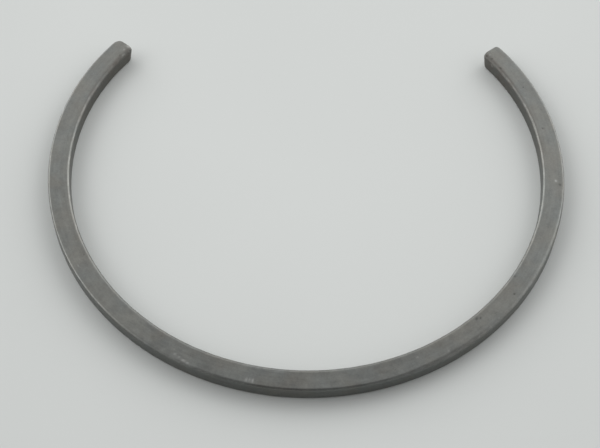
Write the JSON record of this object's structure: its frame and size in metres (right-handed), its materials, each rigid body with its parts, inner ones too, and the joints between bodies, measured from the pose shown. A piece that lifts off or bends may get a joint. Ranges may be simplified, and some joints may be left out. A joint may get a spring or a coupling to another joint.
{
  "type": "locating ring",
  "caption": "Open C-shaped locating ring of rounded flat steel bar, which lies beside a bearing in its housing seat and stops the bearing moving along the shaft.",
  "frame": {"origin": "on the ring's axis, in the side face that it lies on", "axes": "+Z along the ring's axis, out of the face that it lies on; +Y from the axis to the middle of the opening between the ends; +X across the opening"},
  "size_m": [0.12, 0.0961, 0.004],
  "materials": {
    "steel": "plain bent bar, dull grey and faintly mottled, a little brighter where its long edges have rubbed"
  },
  "bodies": {
    "root": {"locating_ring": "steel"}
  },
  "joints": []
}
